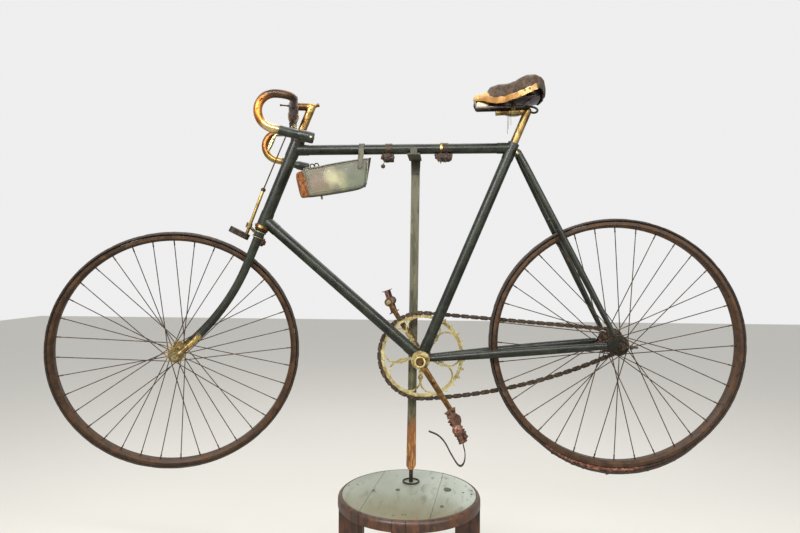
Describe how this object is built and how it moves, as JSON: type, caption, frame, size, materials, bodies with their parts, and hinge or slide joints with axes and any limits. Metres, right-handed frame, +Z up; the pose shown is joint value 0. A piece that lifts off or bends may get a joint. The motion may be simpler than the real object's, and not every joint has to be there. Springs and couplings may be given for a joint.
{
  "type": "vintage safety bicycle on display stand",
  "caption": "Antique diamond-frame safety bicycle with drop bars, plunger brake and block chain, held by an upright post on a round wooden stool.",
  "frame": {"origin": "on the floor under the middle of the whole part's bounding box", "axes": "+Z up; the bicycle heads for -X; the chain side, its right-hand side, is +Y"},
  "size_m": [1.7826, 0.4481, 1.362],
  "materials": {
    "frame_paint": "green-black enamel, worn thin",
    "bare_brass": "nickel worn through to brass and pale gold",
    "copper_bar": "plating worn through to a copper brown",
    "worn_nickel": "dull nickel",
    "rusty_iron": "rust brown, matt",
    "perished_tyre": "perished and cracked",
    "saddle_leather": "dark, dried out",
    "bag_leather": "stiff, with a greenish bloom",
    "grip_rubber": "hard, dull black",
    "post_wood": "olive-grey paint, worn brown below",
    "stool_wood": "grey-green paint over worn boards"
  },
  "bodies": {
    "frame": {"head_tube": "frame_paint", "top_tube": "frame_paint", "down_tube": "frame_paint", "seat_tube": "frame_paint", "head_lugs": "frame_paint", "seat_lug": "frame_paint", "bracket_shell": "frame_paint", "bracket_cups": "bare_brass", "chain_stays": "frame_paint", "seat_stays": "frame_paint", "rear_fork_ends": "rusty_iron", "rear_axle": "rusty_iron", "head_cups": "bare_brass", "chain": "rusty_iron", "seat_post": "bare_brass", "saddle_clip": "rusty_iron", "saddle_frame": "rusty_iron", "saddle_leather": "saddle_leather", "tool_bag": "bag_leather", "bag_strap": "bag_leather", "pump_clips": "worn_nickel", "stand_post": "post_wood", "stand_bracket": "rusty_iron", "stand_spike": "rusty_iron", "stool_top": "stool_wood", "stool_legs": "stool_wood"},
    "steering": {"fork_crown": "frame_paint", "fork_blades": "frame_paint", "fork_ends": "bare_brass", "front_axle": "rusty_iron", "head_locknut": "rusty_iron", "stem": "bare_brass", "handlebar": "copper_bar", "grips": "grip_rubber", "brake_lever": "worn_nickel", "brake_rod": "rusty_iron", "brake_guide": "worn_nickel", "brake_shoe": "grip_rubber"},
    "front_wheel": {"front_hub_spokes": "rusty_iron", "front_rim": "rusty_iron", "front_tyre": "perished_tyre"},
    "rear_wheel": {"rear_hub_spokes": "rusty_iron", "rear_rim": "rusty_iron", "rear_tyre": "perished_tyre"},
    "rear_cog": {"rear_cog": "rusty_iron"},
    "crank": {"crank_axle": "worn_nickel", "crank_left": "rusty_iron", "crank_right": "rusty_iron", "chainring": "bare_brass"},
    "pedal_left": {"pedal_left_cage": "rusty_iron", "toe_clip_left": "rusty_iron"},
    "pedal_right": {"pedal_right_cage": "rusty_iron"}
  },
  "joints": [
    {"name": "steering_turn", "type": "hinge", "parent": "frame", "child": "steering", "pos_m": [-0.3592, 0.0134, 0.981], "axis": [0.3827, 0, 0.9239], "range_deg": [-63.2, 26.8]},
    {"name": "front_wheel_spin", "type": "hinge", "parent": "steering", "child": "front_wheel", "pos_m": [-0.58096, -0.01187, 0.64645], "axis": [0.2886, -0.95, -0.1195], "continuous": true},
    {"name": "rear_wheel_spin", "type": "hinge", "parent": "frame", "child": "rear_wheel", "pos_m": [0.5693, 0.0134, 0.682], "axis": [0, -1, 0], "continuous": true},
    {"name": "crank_turn", "type": "hinge", "parent": "frame", "child": "crank", "pos_m": [0.0713, 0.0134, 0.637], "axis": [0, -1, 0], "range_deg": [-5, 116]},
    {"name": "cog_turn", "type": "hinge", "parent": "frame", "child": "rear_cog", "pos_m": [0.5693, 0.0574, 0.682], "axis": [0, -1, 0], "range_deg": [-20, 430]},
    {"name": "left_pedal_spin", "type": "hinge", "parent": "crank", "child": "pedal_left", "pos_m": [0.16389, -0.1106, 0.49443], "axis": [0, -1, 0], "continuous": true},
    {"name": "right_pedal_spin", "type": "hinge", "parent": "crank", "child": "pedal_right", "pos_m": [-0.02129, 0.1374, 0.77957], "axis": [0, -1, 0], "continuous": true}
  ],
  "couplings": [
    {"joint": "cog_turn", "follows": "crank_turn", "ratio": 3.625}
  ]
}
